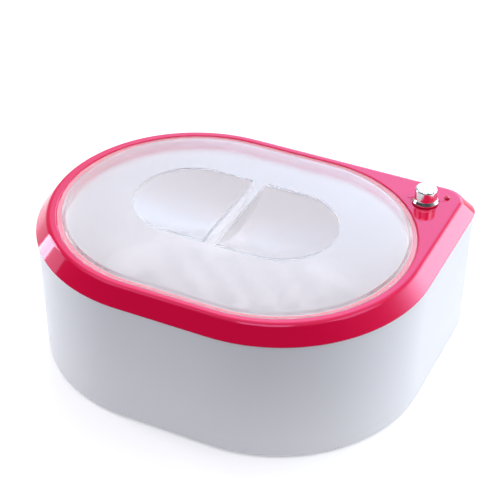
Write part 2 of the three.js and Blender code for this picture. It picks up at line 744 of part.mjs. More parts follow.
piece("heater_mat", "heater", studded(MAT_RADIUS, MAT_BOTTOM, MAT_TOP, STUD_RADIUS + 1));
piece("heater_clamp_plate", "steel", studded(CLAMP_RADIUS, CLAMP_BOTTOM, CLAMP_TOP, STUD_RADIUS + 0.4));
studPlaces.forEach(([x, y], i) => {
  const low = CLAMP_BOTTOM - GAP - NUT_HEIGHT;
  piece(`heater_nut_${i + 1}`, "steel", nut(4, STUD_RADIUS + 0.4, NUT_HEIGHT), x, y, low);
});
piece("insulation_pad", "felt", ovalSlab(PAD_RADIUS, PLATE_TOP + GAP, PAD_TOP));
piece("thermal_fuse", "silicone", thermalFuse().rotate([0, 0, 70]), 112, 57, 27.5);

footPlaces.forEach(([x, y], i) => piece(`foot_${i + 1}`, "rubber", foot(), x, y));
baseScrewPlaces.forEach(([x, y], i) => {
  piece(`base_screw_${i + 1}`, "steel", screw(1.3, 2.8, 14), x, y, PLATE_BOTTOM - GAP);
});
potScrewPlaces.forEach(([x, y], i) => {
  piece(`pot_screw_${i + 1}`, "steel", screw(1.2, 2.8, 9), x, y, POT_FLANGE_BOTTOM - GAP);
});

const spindle = rod(SPINDLE_RADIUS, SPINDLE_BOTTOM, SPINDLE_TOP, 0, 0, 20);
piece("thermostat_body", "black", thermostatBody(), KNOB_X, KNOB_Y);
piece("thermostat_nut", "brass", nut(8, NECK_RADIUS + GAP, 2.4), KNOB_X, KNOB_Y, WELL_FLOOR + GAP);
piece("thermostat_spindle", "steel", spindle, KNOB_X, KNOB_Y);
piece("knob", "chrome", knob(), KNOB_X, KNOB_Y);
piece("indicator_lens", "lamp", indicatorLens(), LAMP_X, LAMP_Y);
piece("indicator_board", "board", box(11, 9, 1.6), LAMP_X, LAMP_Y, 134.8);

const bulb = rod(BULB_RADIUS, -35, 35, 0, 0, 16).rotate([0, 90, 0]);
piece("sensing_bulb", "steel", bulb, 0, BULB_Y, BULB_Z);
piece("bulb_clip", "steel", bulbClip(), 0, BULB_Y, BULB_Z);
piece("capillary_tube", "steel", lead(0.9, capillaryRoute, 18));

piece("inlet_housing", "black", inletHousing(), INLET_X, INLET_FACE, INLET_Z);
for (const [name, x, z] of blades) {
  const blade = box(BLADE_THICKNESS, BLADE_LENGTH, BLADE_HEIGHT);
  piece(name, "brass", blade, INLET_X + x, BLADE_END + BLADE_LENGTH / 2, INLET_Z + z);
}
[-INLET_SCREW_X, INLET_SCREW_X].forEach((x, i) => {
  piece(`inlet_screw_${i + 1}`, "steel", countersunkScrew(), INLET_X + x, INLET_FACE - 0.1, INLET_Z);
});
for (const [name, colour, x, z, route] of inletLeads) piece(name, colour, inletLead(x, z, route));
piece("wire_heater", "brown", lead(LEAD_RADIUS, heaterRoute, 14));
piece("wire_indicator", "brown", lead(0.9, indicatorRoute, 12));

export default wax_warmer;
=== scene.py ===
"""The wax warmer's looks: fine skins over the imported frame, procedural materials, light and camera."""

import json
from math import atan2, cos, degrees, hypot, pi, radians, sin, sqrt, tan

import bmesh
import bpy
from mathutils import Euler, Matrix, Vector

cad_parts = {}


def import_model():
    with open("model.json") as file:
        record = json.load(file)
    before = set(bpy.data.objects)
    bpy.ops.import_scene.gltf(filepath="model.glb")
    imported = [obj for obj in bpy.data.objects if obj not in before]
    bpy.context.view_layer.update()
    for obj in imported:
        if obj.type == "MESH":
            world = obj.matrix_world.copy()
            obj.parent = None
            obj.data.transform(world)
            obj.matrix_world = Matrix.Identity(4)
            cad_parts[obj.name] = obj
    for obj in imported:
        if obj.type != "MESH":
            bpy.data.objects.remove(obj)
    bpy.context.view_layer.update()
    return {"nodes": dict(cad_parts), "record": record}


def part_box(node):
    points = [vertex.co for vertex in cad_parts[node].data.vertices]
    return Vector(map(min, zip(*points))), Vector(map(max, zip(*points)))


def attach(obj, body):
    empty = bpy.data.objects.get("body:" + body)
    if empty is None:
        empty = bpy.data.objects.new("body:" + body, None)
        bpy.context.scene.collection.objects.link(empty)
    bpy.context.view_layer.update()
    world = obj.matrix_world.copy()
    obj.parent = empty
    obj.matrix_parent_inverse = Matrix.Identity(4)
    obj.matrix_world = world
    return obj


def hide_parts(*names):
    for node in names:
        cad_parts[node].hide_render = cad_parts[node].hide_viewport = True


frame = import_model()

MM = 0.001  # the skins are laid out in millimetres and built in metres


def box_mm(node):
    """The lowest and highest corners of a CAD node, in millimetres."""
    low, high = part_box(node)
    return low / MM, high / MM


def middle(node):
    """The middle of a CAD node's box, in millimetres."""
    low, high = box_mm(node)
    return (low + high) / 2


def nodes_named(start):
    """The CAD nodes whose names start so."""
    return [name for name in frame["nodes"] if name.startswith(start)]


# ---------------------------------------------------------------- dimensions, from the frame
bezel_low, bezel_high = box_mm("bezel")
shell_low, shell_high = box_mm("body_shell")
lid_low, lid_high = box_mm("lid")
pot_high = box_mm("inner_pot")[1]
knob_low, knob_high = box_mm("knob")
lamp_low, lamp_high = box_mm("indicator_lens")
inlet_high = box_mm("inlet_housing")[1]
plate_low, plate_high = box_mm("base_plate")
grille_low, grille_high = box_mm("guard_grille")

HALF_LENGTH = bezel_high.x
HALF_WIDTH = bezel_high.y
BEZEL_TOP = bezel_high.z
BEZEL_LOW = bezel_low.z
END_RADIUS = HALF_WIDTH
END_CENTRE = HALF_LENGTH - END_RADIUS
CORNER_RADIUS = 23.5
CORNER_TIGHTENING = 0.35  # how much smaller that radius gets for each millimetre inwards
SLOPE_INSET = 11.4
WALL = 2.6
BEZEL_UNDER = BEZEL_TOP - WALL
GAP = 0.3

OPENING_RADIUS = lid_high.y + 0.5  # at the round ends of the lid's opening
OVAL_CENTRE = lid_high.x - lid_high.y
LEDGE = BEZEL_TOP - 2.6
SKIRT_RADIUS = 118.5
SKIRT_WALL = 2.2
SKIRT_BOTTOM = 129.3

CROWN = lid_high.z
LID_WALL = 2.2
LID_FLANGE_TOP = BEZEL_TOP - 0.2
LID_FLANGE_BOTTOM = LEDGE + GAP
LID_RADIUS = lid_high.y
LID_SKIRT_RADIUS = SKIRT_RADIUS - 0.7
DOME_RADIUS = 119.2  # the dome rises inside a flat flange
SCOOP_DEPTH = 16
SCOOP_STEP = 1.1  # the crisp drop at a scoop's outline, before its floor slopes down
SCOOP_HALF_WIDTH = 52
SCOOP_HALF_LENGTH = 96.5
BAR_HALF_WIDTH = 7

POT_FLOOR = 30.0
GRILLE_BOTTOM = 36.0

KNOB = Vector((middle("knob").x, middle("knob").y))
KNOB_OFF = 255  # degrees: where the pointer stands when the heater is off
KNOB_TURN = 300  # degrees from off to the last setting
SETTINGS = 5
LAMP = Vector((middle("indicator_lens").x, middle("indicator_lens").y))
WELL_RADIUS = 13.4
WELL_DEPTH = 0.7

INLET = Vector((middle("inlet_housing").x, middle("inlet_housing").z))
INLET_BODY = (27, 23.5, 19.8)
INLET_SCREW_X = 20
BLADES = [("inlet_blade_live", 7, 0), ("inlet_blade_neutral", -7, 0), ("inlet_blade_earth", 0, 4)]

# how finely the outlines and the lid are divided
ARC_STEPS = 45  # along each quarter of an oval's ends
SIDE_STEPS = 16
CORNER_STEPS = 16
RUN_STEPS = 6
SCOOP_RUN = 8  # along a scoop's straight side
SCOOP_ARC = 48
SCOOP_SCALES = [1, 0.97, 0.93, 0.88, 0.82, 0.75, 0.67, 0.58, 0.48, 0.38, 0.28, 0.18, 0.09]
BAR_STEPS = 6
DOME_STEPS = 24
DOME_EDGE_SHARES = [0.98, 0.99, 0.997]  # closer together where the dome's shoulder turns down


# ---------------------------------------------------------------- mesh helpers
SHARP_ANGLE = 32  # degrees between two faces, from which their edge stays crisp


def add_object(name, data):
    made = bpy.data.objects.new(name, data)
    bpy.context.scene.collection.objects.link(made)
    return made


def shade(mesh):
    """Smooths a mesh, and keeps its sharper edges crisp."""
    mesh.shade_smooth()
    mesh.set_sharp_from_angle(angle=radians(SHARP_ANGLE))


def from_bmesh(name, bm):
    """A shaded object, with its faces turned outwards."""
    bmesh.ops.recalc_face_normals(bm, faces=bm.faces)
    mesh = bpy.data.meshes.new(name)
    bm.to_mesh(mesh)
    bm.free()
    shade(mesh)
    return add_object(name, mesh)


def bake(made):
    """Turns an object's modifiers into its mesh."""
    bpy.context.view_layer.update()
    graph = bpy.context.evaluated_depsgraph_get()
    baked = bpy.data.meshes.new_from_object(made.evaluated_get(graph))
    made.modifiers.clear()
    made.data = baked


def apply_modifiers(made):
    """Bakes an object's modifiers, then shades it again."""
    bake(made)
    shade(made.data)
    return made


def flatten_normals(made):
    """Keeps a flat face looking flat beside its rounded edges and holes."""
    modifier = made.modifiers.new("flat_faces", "WEIGHTED_NORMAL")
    modifier.keep_sharp = True
    bake(made)


def bevel(made, width, segments, angle):
    """Rounds every edge sharper than the angle, and bakes it."""
    modifier = made.modifiers.new("round_edges", "BEVEL")
    modifier.width = width * MM
    modifier.segments = segments
    modifier.limit_method = "ANGLE"
    modifier.angle_limit = radians(angle)
    return apply_modifiers(made)


def carve(made, tools, operation="DIFFERENCE"):
    """Cuts the tools out of an object, or joins them to it, and removes them."""
    for tool in tools:
        modifier = made.modifiers.new("carve", "BOOLEAN")
        modifier.object = tool
        modifier.operation = operation
        modifier.solver = "EXACT"
    apply_modifiers(made)
    for tool in tools:
        bpy.data.objects.remove(tool)
    return made


def merge(name, parts):
    """One object from several, each kept as its own closed shell."""
    bm = bmesh.new()
    for part in parts:
        bm.from_mesh(part.data)
        bpy.data.objects.remove(part)
    return from_bmesh(name, bm)


def ring_faces(bm, a, b, closed=True):
    """Quads between two rings of equal length."""
    count = len(a)
    for i in range(count if closed else count - 1):
        j = (i + 1) % count
        corners = [a[i], a[j], b[j], b[i]]
        unique = list(dict.fromkeys(corners))
        if len(unique) >= 3:
            bm.faces.new(unique)


def add_ring(bm, points):
    return [bm.verts.new((x * MM, y * MM, z * MM)) for x, y, z in points]


def loft(name, rings, closed=False):
    """A skin through rings of points, joined end to end when closed and capped when not."""
    bm = bmesh.new()
    made = [add_ring(bm, ring) for ring in rings]
    for a, b in zip(made, made[1:]):
        ring_faces(bm, a, b)
    if closed:
        ring_faces(bm, made[-1], made[0])
    else:
        bm.faces.new(made[0])
        bm.faces.new(made[-1])
    return from_bmesh(name, bm)


def rounded(corners, steps=6, support=0.25):
    """A section through corners, each (across, z) or (across, z, radius) where it is rounded.

    A support point stands beside each rounding. The last corner counts as the first one's neighbour."""
    section = []
    count = len(corners)
    for i, (across, z, *radius) in enumerate(corners):
        corner = Vector((across, z))
        if not radius:
            section.append(corner)
            continue
        back = (Vector(corners[i - 1][:2]) - corner).normalized()
        ahead = (Vector(corners[(i + 1) % count][:2]) - corner).normalized()
        half = back.angle(ahead) / 2
        reach = radius[0] / tan(half)
        centre = corner + (back + ahead).normalized() * radius[0] / sin(half)
        start = corner + back * reach
        end = corner + ahead * reach
        section.append(start + back * support)
        first = start - centre
        sweep = first.angle_signed(end - centre)
        for step in range(steps + 1):
            turn = Matrix.Rotation(-sweep * step / steps, 2)
            section.append(centre + turn @ first)
        section.append(end + ahead * support)
    return section


def arc(x, y, radius, start, end, steps):
    """Points along an arc, in degrees, without its last point."""
    turns = [radians(start + (end - start) * i / steps) for i in range(steps)]
    return [(x + radius * cos(t), y + radius * sin(t)) for t in turns]


def line(a, b, steps):
    """Points along a straight run, without its last point."""
    return [(a[0] + (b[0] - a[0]) * i / steps, a[1] + (b[1] - a[1]) * i / steps) for i in range(steps)]


def housing_ring(inset, z):
    """The housing's outline moved inwards: a stadium with its back right corner squared off."""
    radius = END_RADIUS - inset
    corner = CORNER_RADIUS - CORNER_TIGHTENING * inset
    right, back = HALF_LENGTH - inset, HALF_WIDTH - inset
    outline = (
        arc(END_CENTRE, 0, radius, -90, 0, ARC_STEPS)
        + line((right, 0), (right, back - corner), SIDE_STEPS)
        + arc(right - corner, back - corner, corner, 0, 90, CORNER_STEPS)
        + line((right - corner, back), (END_CENTRE, back), SIDE_STEPS)
        + line((END_CENTRE, back), (-END_CENTRE, back), RUN_STEPS)
        + arc(-END_CENTRE, 0, radius, 90, 270, 2 * ARC_STEPS)
        + line((-END_CENTRE, -radius), (END_CENTRE, -radius), RUN_STEPS)
    )
    return [(x, y, z) for x, y in outline]


def oval_ring(radius, z):
    """A stadium in line with the lid's opening, point for point beside a housing ring."""
    corner_start, corner_end = 36, 54  # degrees: what faces the housing's rounded corner
    outline = (
        arc(OVAL_CENTRE, 0, radius, -90, 0, ARC_STEPS)
        + arc(OVAL_CENTRE, 0, radius, 0, corner_start, SIDE_STEPS)
        + arc(OVAL_CENTRE, 0, radius, corner_start, corner_end, CORNER_STEPS)
        + arc(OVAL_CENTRE, 0, radius, corner_end, 90, SIDE_STEPS)
        + line((OVAL_CENTRE, radius), (-OVAL_CENTRE, radius), RUN_STEPS)
        + arc(-OVAL_CENTRE, 0, radius, 90, 270, 2 * ARC_STEPS)
        + line((-OVAL_CENTRE, -radius), (OVAL_CENTRE, -radius), RUN_STEPS)
    )
    return [(x, y, z) for x, y in outline]


def turned(name, profile, centre, steps=96, closed=False):
    """A solid of revolution about an upright axis, from (radius, z) points that start and end on it.

    A closed profile joins its last point to its first instead."""
    bm = bmesh.new()
    rings = []
    for radius, z in profile:
        if radius == 0:
            rings.append(add_ring(bm, [(centre[0], centre[1], z)]) * steps)
        else:
            circle = arc(centre[0], centre[1], radius, 0, 360, steps)
            rings.append(add_ring(bm, [(x, y, z) for x, y in circle]))
    for a, b in zip(rings, rings[1:] + rings[:1] if closed else rings[1:]):
        ring_faces(bm, a, b)
    return from_bmesh(name, bm)


def block(name, size, centre, turn=0):
    """A box, as a tool for carving or the start of a rounded piece."""
    bm = bmesh.new()
    bmesh.ops.create_cube(bm, size=1)
    bmesh.ops.scale(bm, vec=Vector(size) * MM, verts=bm.verts)
    bmesh.ops.rotate(bm, matrix=Matrix.Rotation(radians(turn), 3, "Z"), verts=bm.verts)
    bmesh.ops.translate(bm, vec=Vector(centre) * MM, verts=bm.verts)
    return from_bmesh(name, bm)


def slot_tool(length, width, x, y, low, high):
    """A tool that cuts a slot with round ends, along X."""
    end_steps = 8
    run = (length - width) / 2
    outline = (
        arc(x + run, y, width / 2, -90, 90, end_steps)
        + [(x + run, y + width / 2)]
        + arc(x - run, y, width / 2, 90, 270, end_steps)
        + [(x - run, y - width / 2)]
    )
    return loft("slot_tool", [[(px, py, z) for px, py in outline] for z in (low, high)])


def round_tool(radius, centre, low, high, steps=48):
    """A tool that cuts a round hole."""
    return turned("round_tool", [(0, low), (radius, low), (radius, high), (0, high)], centre, steps)


def back_facing(made, x, y, z):
    """Turns an upright piece to face backwards and moves it there."""
    turn = Matrix.Translation(Vector((x, y, z)) * MM) @ Matrix.Rotation(radians(-90), 4, "X")
    made.data.transform(turn)
    return made


# ---------------------------------------------------------------- materials
def new_material(name):
    made = bpy.data.materials.new(name)
    made.use_nodes = True
    return made


def shader_of(made):
    return made.node_tree.nodes["Principled BSDF"]


def adjust(made, settings):
    """Sets inputs of a material's shader by their names."""
    for name, value in settings.items():
        shader_of(made).inputs[name].default_value = value


def noise(tree, scale, detail=3, stretch=None):
    """Noise in the object's own metres, stretched along an axis if asked."""
    place = tree.nodes.new("ShaderNodeTexCoord").outputs["Object"]
    texture = tree.nodes.new("ShaderNodeTexNoise")
    texture.inputs["Scale"].default_value = scale
    texture.inputs["Detail"].default_value = detail
    if stretch:
        mapping = tree.nodes.new("ShaderNodeMapping")
        mapping.inputs["Scale"].default_value = stretch
        tree.links.new(place, mapping.inputs["Vector"])
        place = mapping.outputs["Vector"]
    tree.links.new(place, texture.inputs["Vector"])
    return texture.outputs["Fac"]


def spread(tree, source, low, high):
    """Maps noise, which mostly lies between 0.3 and 0.7, onto low to high."""
    mapped = tree.nodes.new("ShaderNodeMapRange")
    mapped.inputs["From Min"].default_value = 0.3
    mapped.inputs["From Max"].default_value = 0.7
    mapped.inputs["To Min"].default_value = low
    mapped.inputs["To Max"].default_value = high
    tree.links.new(source, mapped.inputs["Value"])
    return mapped.outputs["Result"]


def smooth_step(tree, source, start, end):
    """Rises softly from 0 to 1 as the source goes from start to end."""
    ramp = tree.nodes.new("ShaderNodeMapRange")
    ramp.interpolation_type = "SMOOTHSTEP"
    ramp.inputs["From Min"].default_value = start
    ramp.inputs["From Max"].default_value = end
    tree.links.new(source, ramp.inputs["Value"])
    return ramp.outputs["Result"]


def along(tree, source, direction):
    """How far a point lies along a direction."""
    dot = tree.nodes.new("ShaderNodeVectorMath")
    dot.operation = "DOT_PRODUCT"
    dot.inputs[1].default_value = direction
    tree.links.new(source, dot.inputs[0])
    return dot.outputs["Value"]


def paint(made, socket, source, first, second):
    """Feeds a colour input of the shader with a blend of two colours."""
    tree = made.node_tree
    mixed = tree.nodes.new("ShaderNodeMix")
    mixed.data_type = "RGBA"
    mixed.inputs["A"].default_value = (*first, 1)
    mixed.inputs["B"].default_value = (*second, 1)
    tree.links.new(source, mixed.inputs["Factor"])
    tree.links.new(mixed.outputs["Result"], shader_of(made).inputs[socket])


def add_bump(made, source, strength, depth):
    """Raises and lowers the surface by a texture, up to a depth in millimetres."""
    tree = made.node_tree
    bump = tree.nodes.new("ShaderNodeBump")
    bump.inputs["Strength"].default_value = strength
    bump.inputs["Distance"].default_value = depth * MM
    tree.links.new(source, bump.inputs["Height"])
    tree.links.new(bump.outputs["Normal"], shader_of(made).inputs["Normal"])


def moulded(name, colour, roughness, shade=0.94, grain=900, bump=0.1, depth=0.05, metallic=0.0):
    """Moulded or plated stuff: a little uneven in colour and gloss, with a fine grain.

    shade is how dark the colour gets, and grain how many specks there are to a metre, if it has any."""
    made = new_material(name)
    tree = made.node_tree
    broad = noise(tree, 14)
    paint(made, "Base Color", broad, colour, tuple(channel * shade for channel in colour))
    gloss = spread(tree, broad, roughness * 0.9, roughness * 1.1)
    tree.links.new(gloss, shader_of(made).inputs["Roughness"])
    adjust(made, {"Metallic": metallic})
    if grain:
        add_bump(made, noise(tree, grain, detail=4), bump, depth)
    return made


def white_plastic():
    made = moulded("white_plastic", (0.71, 0.715, 0.75), 0.34, shade=0.99, bump=0.06)
    adjust(made, {
        "Subsurface Weight": 0.12,
        "Subsurface Radius": (1.0, 0.9, 0.9),
        "Subsurface Scale": 2 * MM,
    })
    return made


def pink_plastic():
    """Polished plastic whose reflections have a violet tint."""
    made = moulded("pink_plastic", (0.74, 0.004, 0.055), 0.07, shade=0.93, grain=60, bump=0.02)
    adjust(made, {"Specular Tint": (1, 0.5, 1, 1), "IOR": 1.58})
    return made


def frosted_plastic():
    """Milky translucent plastic: mostly blurred see-through, part light-scattering white.

    It lets light straight through to the pot, as a thin clear sheet would."""
    made = moulded(
        "frosted_plastic", (0.94, 0.92, 0.92), 0.235, shade=0.99, grain=2500, depth=0.03
    )
    adjust(made, {"Transmission Weight": 0.88, "IOR": 1.26})
    nodes, links = made.node_tree.nodes, made.node_tree.links
    clear = nodes.new("ShaderNodeBsdfTransparent")
    clear.inputs["Color"].default_value = (0.93, 0.92, 0.94, 1)
    mixed = nodes.new("ShaderNodeMixShader")
    links.new(nodes.new("ShaderNodeLightPath").outputs["Is Shadow Ray"], mixed.inputs["Fac"])
    links.new(shader_of(made).outputs["BSDF"], mixed.inputs[1])
    links.new(clear.outputs["BSDF"], mixed.inputs[2])
    links.new(mixed.outputs["Shader"], nodes["Material Output"].inputs["Surface"])
    return made


def chrome():
    return moulded("chrome", (0.95, 0.95, 0.96), 0.16, shade=0.98, bump=0.02, metallic=1.0)


def aluminium():
    """Spun sheet with a dull bloom: fine lines of brushing run round the pot's wall."""
    made = moulded("aluminium", (0.95, 0.95, 0.96), 0.5, shade=0.95, grain=None, metallic=1.0)
    brushing = noise(made.node_tree, 60, detail=6, stretch=(1.5, 1.5, 60))
    add_bump(made, brushing, 0.12, 0.04)
    return made


def steel():
    return moulded("steel", (0.66, 0.67, 0.69), 0.3, shade=0.85, metallic=1.0)


def brass():
    return moulded("brass", (0.80, 0.62, 0.28), 0.28, shade=0.85, metallic=1.0)


def rubber():
    return moulded("rubber", (0.035, 0.035, 0.04), 0.75, shade=0.8, grain=500, bump=0.4)


def silicone():
    return moulded("silicone", (0.72, 0.72, 0.72), 0.55)


def heater_film():
    """Etched foil tracks under a film: dark lines across it."""
    copper = (0.62, 0.25, 0.09)
    made = moulded("heater_film", copper, 0.4)
    tree = made.node_tree
    wave = tree.nodes.new("ShaderNodeTexWave")
    wave.inputs["Scale"].default_value = 45
    tree.links.new(tree.nodes.new("ShaderNodeTexCoord").outputs["Object"], wave.inputs["Vector"])
    paint(made, "Base Color", wave.outputs["Fac"], copper, (0.2, 0.09, 0.05))
    return made


def felt():
    made = moulded("felt", (0.78, 0.72, 0.6), 0.95, shade=0.8, grain=1600, bump=0.8, depth=0.4)
    adjust(made, {"Sheen Weight": 0.3})
    return made


def black_plastic():
    return moulded("black_plastic", (0.02, 0.02, 0.022), 0.42, shade=0.8, grain=1400, bump=0.3)


def lamp_red():
    made = moulded("lamp_red", (0.75, 0.004, 0.05), 0.1, grain=200, bump=0.02)
    adjust(made, {"Transmission Weight": 0.15, "Coat Weight": 0.5})
    return made


def board():
    return moulded("board", (0.03, 0.17, 0.07), 0.35, shade=0.7)


def lead(name, colour):
    return moulded(name, colour, 0.45, grain=600, bump=0.05)


MATERIALS = {
    "white_plastic": white_plastic(),
    "pink_plastic": pink_plastic(),
    "frosted_plastic": frosted_plastic(),
    "aluminium": aluminium(),
    "chrome": chrome(),
    "steel": steel(),
    "brass": brass(),
    "rubber": rubber(),
    "silicone": silicone(),
    "heater_film": heater_film(),
    "felt": felt(),
    "black_plastic": black_plastic(),
    "lamp_red": lamp_red(),
    "board": board(),
    "wire_brown": lead("wire_brown", (0.16, 0.06, 0.03)),
    "wire_blue": lead("wire_blue", (0.03, 0.10, 0.42)),
    "wire_green": lead("wire_green", (0.14, 0.38, 0.05)),
}


def finish(made, slot, body, node):
    """Gives a skin its material and body, and hides the CAD node it stands for."""
    flatten_normals(made)
    made.data.materials.clear()
    made.data.materials.append(MATERIALS[slot])
    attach(made, body)
    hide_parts(node)


def dress_cad_nodes():
    """Gives every CAD node its slot's material, for those that still show."""
    slots = {part["node"]: part["material_slot"] for part in frame["record"]["subparts"]}
    for name, node in frame["nodes"].items():
        node.data.materials.clear()
        node.data.materials.append(MATERIALS[slots[name]])


# ---------------------------------------------------------------- body shell
def body_shell():
    """The drafted wall, with a thinner tongue round its top that leans in under the bezel."""
    base, top, tongue_top = shell_low.z, BEZEL_LOW - 0.2, shell_high.z
    base_inset, top_inset, wall = 2.5, 1.0, 2.8
    tongue_inset, tongue_lean, tongue_wall, tongue_root = 3.5, 2.6, 1.6, 2
    section = rounded(
        [
            (base_inset, base, 1.4),
            (top_inset, top, 0.5),
            (tongue_inset, top),
            (tongue_inset + tongue_lean, tongue_top, 0.3),
            (tongue_inset + tongue_lean + tongue_wall, tongue_top, 0.3),
            (tongue_inset + tongue_wall, top),
            (tongue_inset + tongue_wall, top - tongue_root),
            (top_inset + wall, top - tongue_root),
            (base_inset + wall, base, 0.4),
        ]
    )
    skin = loft("body_shell_skin", [housing_ring(inset, z) for inset, z in section], closed=True)
    carve(skin, [shell_bosses()], "UNION")
    width, _, height = INLET_BODY
    play = 0.8
    opening = (width + play, 30, height + play)
    tools = [block("inlet_tool", opening, (INLET.x, HALF_WIDTH, INLET.y))]
    for x in (-INLET_SCREW_X, INLET_SCREW_X):
        pilot = round_tool(1.8, (0, 0), -10, 10, 32)
        tools.append(back_facing(pilot, INLET.x + x, HALF_WIDTH, INLET.y))
    carve(skin, tools)
    finish(skin, "white_plastic", "root", "body_shell")


def shell_bosses():
    """Hollow posts for the base plate's screws, each with a rib out to the wall."""
    hole, radius, cap = 1.6, 4.5, 4
    low, high = plate_high.z + GAP, 24
    rib_start, rib_width = 3.6, 3
    profile = [(hole, low), (radius, low), (radius, high), (0, high), (0, high - cap), (hole, high - cap)]
    posts = []
    for name in nodes_named("base_screw_"):
        place = middle(name)
        post = turned("post", profile, place, 40, closed=True)
        outward = atan2(place.y, place.x)
        to_wall = 12.2 if place.x > 150 else 8.2  # the squared-off corner is further away
        reach = (rib_start + to_wall) / 2
        centre = (place.x + reach * cos(outward), place.y + reach * sin(outward), (low + high) / 2)
        rib = block("rib", (to_wall - rib_start, rib_width, high - low), centre, degrees(outward))
        posts.append(carve(post, [rib], "UNION"))
    return merge("shell_bosses", posts)


# ---------------------------------------------------------------- bezel
def bezel():
    """The sloped band with its narrow flat top, the lid's ledge and the skirt inside the pot."""
    lip = 2.8  # the upright edge at the foot of the slope, and its thickness
    outer = rounded(
        [
            (SLOPE_INSET + 1.6, BEZEL_UNDER),
            (lip, BEZEL_LOW + 1),
            (lip, BEZEL_LOW),
            (0, BEZEL_LOW, 0.35),
            (0, BEZEL_LOW + 0.9, 0.5),
            (SLOPE_INSET, BEZEL_TOP, 5.0),
            (SLOPE_INSET + 3.2, BEZEL_TOP),
        ]
    )
    inner = rounded(
        [
            (OPENING_RADIUS + 1.4, BEZEL_TOP),
            (OPENING_RADIUS, BEZEL_TOP, 1.2),
            (OPENING_RADIUS, LEDGE, 0.3),
            (SKIRT_RADIUS, LEDGE, 0.6),
            (SKIRT_RADIUS, SKIRT_BOTTOM, 0.3),
            (SKIRT_RADIUS + SKIRT_WALL, SKIRT_BOTTOM, 0.3),
            (SKIRT_RADIUS + SKIRT_WALL, LEDGE - WALL),
            (OPENING_RADIUS + WALL, LEDGE - WALL),
            (OPENING_RADIUS + WALL, BEZEL_UNDER),
        ]
    )
    rings = [housing_ring(inset, z) for inset, z in outer] + [oval_ring(radius, z) for radius, z in inner]
    skin = loft("bezel_skin", rings, closed=True)
    above = BEZEL_TOP + 1
    spindle_hole, lamp_hole = 5.2, 2.7
    tools = [
        round_tool(WELL_RADIUS, KNOB, BEZEL_TOP - WELL_DEPTH, above, 96),
        round_tool(spindle_hole, KNOB, BEZEL_UNDER - 1, above),
        round_tool(lamp_hole, LAMP, BEZEL_UNDER - 1, above),
    ]
    carve(skin, tools)
    carve(skin, dial_marks())
    finish(skin, "pink_plastic", "root", "bezel")


def dial_marks():
    """Tools for the grooves round the knob, one for each setting over its turn."""
    marks = []
    for i in range(SETTINGS):
        turn = KNOB_OFF - i * KNOB_TURN / (SETTINGS - 1)
        marks.append(groove_tool(16, turn, (3, 0.8, 1.2), BEZEL_TOP + 0.2))
    return marks


def groove_tool(distance, turn, size, z):
    """A tool that cuts a groove pointing at the knob's axis, at a distance from it."""
    x = KNOB.x + distance * cos(radians(turn))
    y = KNOB.y + distance * sin(radians(turn))
    return block("groove_tool", size, (x, y, z), turn)


# ---------------------------------------------------------------- lid
def oval_reach(x, y):
    """The radius of the oval through a point."""
    return hypot(max(abs(x) - OVAL_CENTRE, 0), y)


def dome(x, y):
    """The lid's height there: a flat flange, a soft shoulder and a nearly flat crown."""
    share = min(oval_reach(x, y) / DOME_RADIUS, 1)
    return LID_FLANGE_TOP + (CROWN - LID_FLANGE_TOP) * sqrt(1 - share**3)


def scoop_outline(scale):
    """A finger scoop's outline on the right of the bar, scaled about the middle of the bar's wall."""
    width = SCOOP_HALF_WIDTH * scale
    centre = BAR_HALF_WIDTH + (SCOOP_HALF_LENGTH - SCOOP_HALF_WIDTH - BAR_HALF_WIDTH) * scale
    return (
        line((BAR_HALF_WIDTH, -width), (centre, -width), SCOOP_RUN)
        + arc(centre, 0, width, -90, 90, SCOOP_ARC)
        + line((centre, width), (BAR_HALF_WIDTH, width), SCOOP_RUN)
        + [(BAR_HALF_WIDTH, width)]
    )


def bar_columns():
    """Where the bar's top is divided, from right to left."""
    step = 2 * BAR_HALF_WIDTH / BAR_STEPS
    return [BAR_HALF_WIDTH - i * step for i in range(BAR_STEPS + 1)]


def all_round(right, reach):
    """A whole outline from its right half: the left one mirrors it, with the bar's columns between."""
    left = [(-x, -y) for x, y in right]
    back = [(x, reach) for x in bar_columns()[1:-1]]
    front = [(-x, -reach) for x in bar_columns()[1:-1]]
    return right + back + left + front


def grip_outline():
    """Round both scoops and over the ends of the bar, from the right scoop's front corner."""
    return all_round(scoop_outline(1), SCOOP_HALF_WIDTH)


def rim_outline(radius):
    """An oval, point for point beside the grip's outline."""
    right = (
        line((BAR_HALF_WIDTH, -radius), (OVAL_CENTRE, -radius), SCOOP_RUN)
        + arc(OVAL_CENTRE, 0, radius, -90, 90, SCOOP_ARC)
        + line((OVAL_CENTRE, radius), (BAR_HALF_WIDTH, radius), SCOOP_RUN)
        + [(BAR_HALF_WIDTH, radius)]
    )
    return all_round(right, radius)


def scoop_depth(scale):
    """How far a scoop's floor lies under the dome, at a share of the scoop's size."""
    return SCOOP_STEP + (SCOOP_DEPTH - SCOOP_STEP) * (1 - scale * scale)


